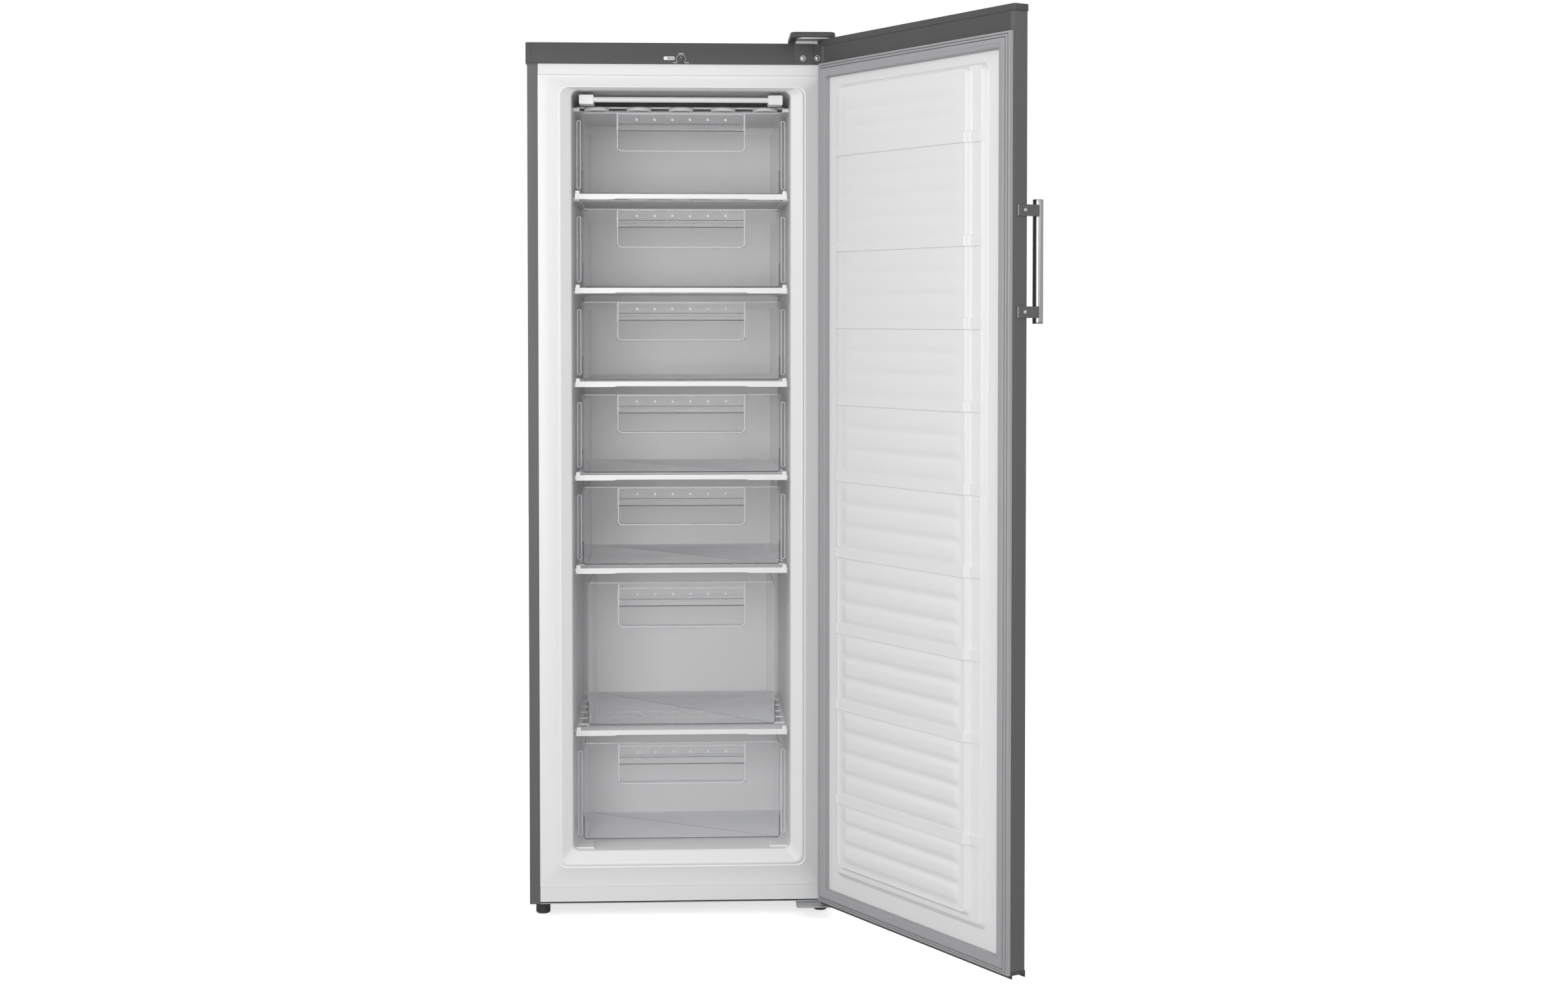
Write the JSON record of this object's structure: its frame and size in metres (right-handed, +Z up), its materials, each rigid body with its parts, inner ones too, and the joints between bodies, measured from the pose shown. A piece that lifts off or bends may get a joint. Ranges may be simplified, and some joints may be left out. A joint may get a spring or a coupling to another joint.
{
  "type": "upright freezer",
  "caption": "Tall single-door upright freezer with clear drawers on cooling shelves, a right-hinged door held open and a vertical bar handle.",
  "frame": {"origin": "centre of the whole footprint, door included as it stands open, on the floor", "axes": "+Z up, +X to the viewer's right, the cabinet's open front faces -Y"},
  "size_m": [0.9278, 1.118, 1.7241],
  "materials": {
    "dark_painted_steel": "satin grey paint on sheet steel",
    "dark_plastic": "satin dark grey moulded plastic",
    "white_plastic": "semi-gloss white sheet plastic",
    "white_painted_steel": "satin white paint",
    "white_coated_steel": "white coated steel tube and wire",
    "clear_plastic": "clear moulded plastic",
    "gasket_rubber": "soft grey extruded seal",
    "satin_metal": "brushed satin metal",
    "zinc_plated_steel": "bare zinc-plated sheet",
    "black_enamel": "gloss black enamel",
    "black_plastic": "matt black plastic",
    "dark_rubber": "matt dark rubbery plastic",
    "copper": "bare drawn copper",
    "insulation_foam": "rigid foam, pale yellow"
  },
  "bodies": {
    "cabinet": {"back_panel": "zinc_plated_steel", "base_plate": "zinc_plated_steel", "cabinet_foam": "insulation_foam", "compressor": "black_enamel", "condenser": "black_enamel", "cooling_shelf_1": "white_coated_steel", "cooling_shelf_2": "white_coated_steel", "cooling_shelf_3": "white_coated_steel", "cooling_shelf_4": "white_coated_steel", "cooling_shelf_5": "white_coated_steel", "cooling_shelf_6": "white_coated_steel", "cooling_shelf_7": "white_coated_steel", "filter_dryer": "copper", "hinge_cover": "dark_plastic", "indicator_window": "white_plastic", "inner_liner": "white_plastic", "lower_crossbar": "white_painted_steel", "lower_hinge_bracket": "zinc_plated_steel", "outer_shell": "dark_painted_steel", "shelf_trim_1": "white_plastic", "shelf_trim_2": "white_plastic", "shelf_trim_3": "white_plastic", "shelf_trim_4": "white_plastic", "shelf_trim_5": "white_plastic", "shelf_trim_6": "white_plastic", "shelf_trim_7": "white_plastic", "starter_box": "black_plastic", "suction_tube": "copper", "thermostat_body": "white_plastic", "top_cover": "dark_plastic", "upper_crossbar": "white_painted_steel", "upper_hinge_bracket": "zinc_plated_steel"},
    "door": {"door_bottom_cap": "dark_plastic", "door_foam": "insulation_foam", "door_gasket": "gasket_rubber", "door_handle_bar": "satin_metal", "door_liner": "white_plastic", "door_outer_panel": "dark_painted_steel", "door_top_cap": "dark_plastic", "handle_bracket_lower": "dark_painted_steel", "handle_bracket_upper": "dark_painted_steel"},
    "drawer_1": {"drawer_grip_1": "clear_plastic", "drawer_tub_1": "clear_plastic"},
    "drawer_2": {"drawer_grip_2": "clear_plastic", "drawer_tub_2": "clear_plastic"},
    "drawer_3": {"drawer_grip_3": "clear_plastic", "drawer_tub_3": "clear_plastic"},
    "drawer_4": {"drawer_grip_4": "clear_plastic", "drawer_tub_4": "clear_plastic"},
    "drawer_5": {"drawer_grip_5": "clear_plastic", "drawer_tub_5": "clear_plastic"},
    "drawer_6": {"drawer_grip_6": "clear_plastic", "drawer_tub_6": "clear_plastic"},
    "drawer_7": {"drawer_grip_7": "clear_plastic", "drawer_tub_7": "clear_plastic"},
    "front_left_foot_body": {"front_left_foot": "dark_rubber"},
    "front_right_foot_body": {"front_right_foot": "dark_rubber"},
    "rear_left_roller_body": {"rear_left_roller": "black_plastic"},
    "rear_right_roller_body": {"rear_right_roller": "black_plastic"},
    "dial": {"thermostat_dial": "dark_plastic"}
  },
  "joints": [
    {"name": "door_hinge", "type": "hinge", "parent": "cabinet", "child": "door", "pos_m": [0.12509, -0.04142, 0.87], "axis": [0, 0, 1], "range_deg": [-120, 10]},
    {"name": "drawer_1_slide", "type": "slide", "parent": "cabinet", "child": "drawer_1", "axis": [0, -1, 0], "range_m": [0, 0.32]},
    {"name": "drawer_2_slide", "type": "slide", "parent": "cabinet", "child": "drawer_2", "axis": [0, -1, 0], "range_m": [0, 0.32]},
    {"name": "drawer_3_slide", "type": "slide", "parent": "cabinet", "child": "drawer_3", "axis": [0, -1, 0], "range_m": [0, 0.32]},
    {"name": "drawer_4_slide", "type": "slide", "parent": "cabinet", "child": "drawer_4", "axis": [0, -1, 0], "range_m": [0, 0.32]},
    {"name": "drawer_5_slide", "type": "slide", "parent": "cabinet", "child": "drawer_5", "axis": [0, -1, 0], "range_m": [0, 0.32]},
    {"name": "drawer_6_slide", "type": "slide", "parent": "cabinet", "child": "drawer_6", "axis": [0, -1, 0], "range_m": [0, 0.32]},
    {"name": "drawer_7_slide", "type": "slide", "parent": "cabinet", "child": "drawer_7", "axis": [0, -1, 0], "range_m": [0, 0.2]},
    {"name": "dial_turn", "type": "hinge", "parent": "cabinet", "child": "dial", "pos_m": [-0.16341, -0.01882, 1.6721], "axis": [0, -1, 0], "range_deg": [-140, 140]},
    {"name": "front_left_foot_screw", "type": "slide", "parent": "cabinet", "child": "front_left_foot_body", "axis": [0, 0, -1], "range_m": [0, 0.012]},
    {"name": "front_right_foot_screw", "type": "slide", "parent": "cabinet", "child": "front_right_foot_body", "axis": [0, 0, -1], "range_m": [0, 0.012]},
    {"name": "rear_left_roller_spin", "type": "hinge", "parent": "cabinet", "child": "rear_left_roller_body", "pos_m": [-0.41891, 0.50718, 0.015], "axis": [1, 0, 0], "continuous": true},
    {"name": "rear_right_roller_spin", "type": "hinge", "parent": "cabinet", "child": "rear_right_roller_body", "pos_m": [0.09209, 0.50718, 0.015], "axis": [1, 0, 0], "continuous": true}
  ]
}
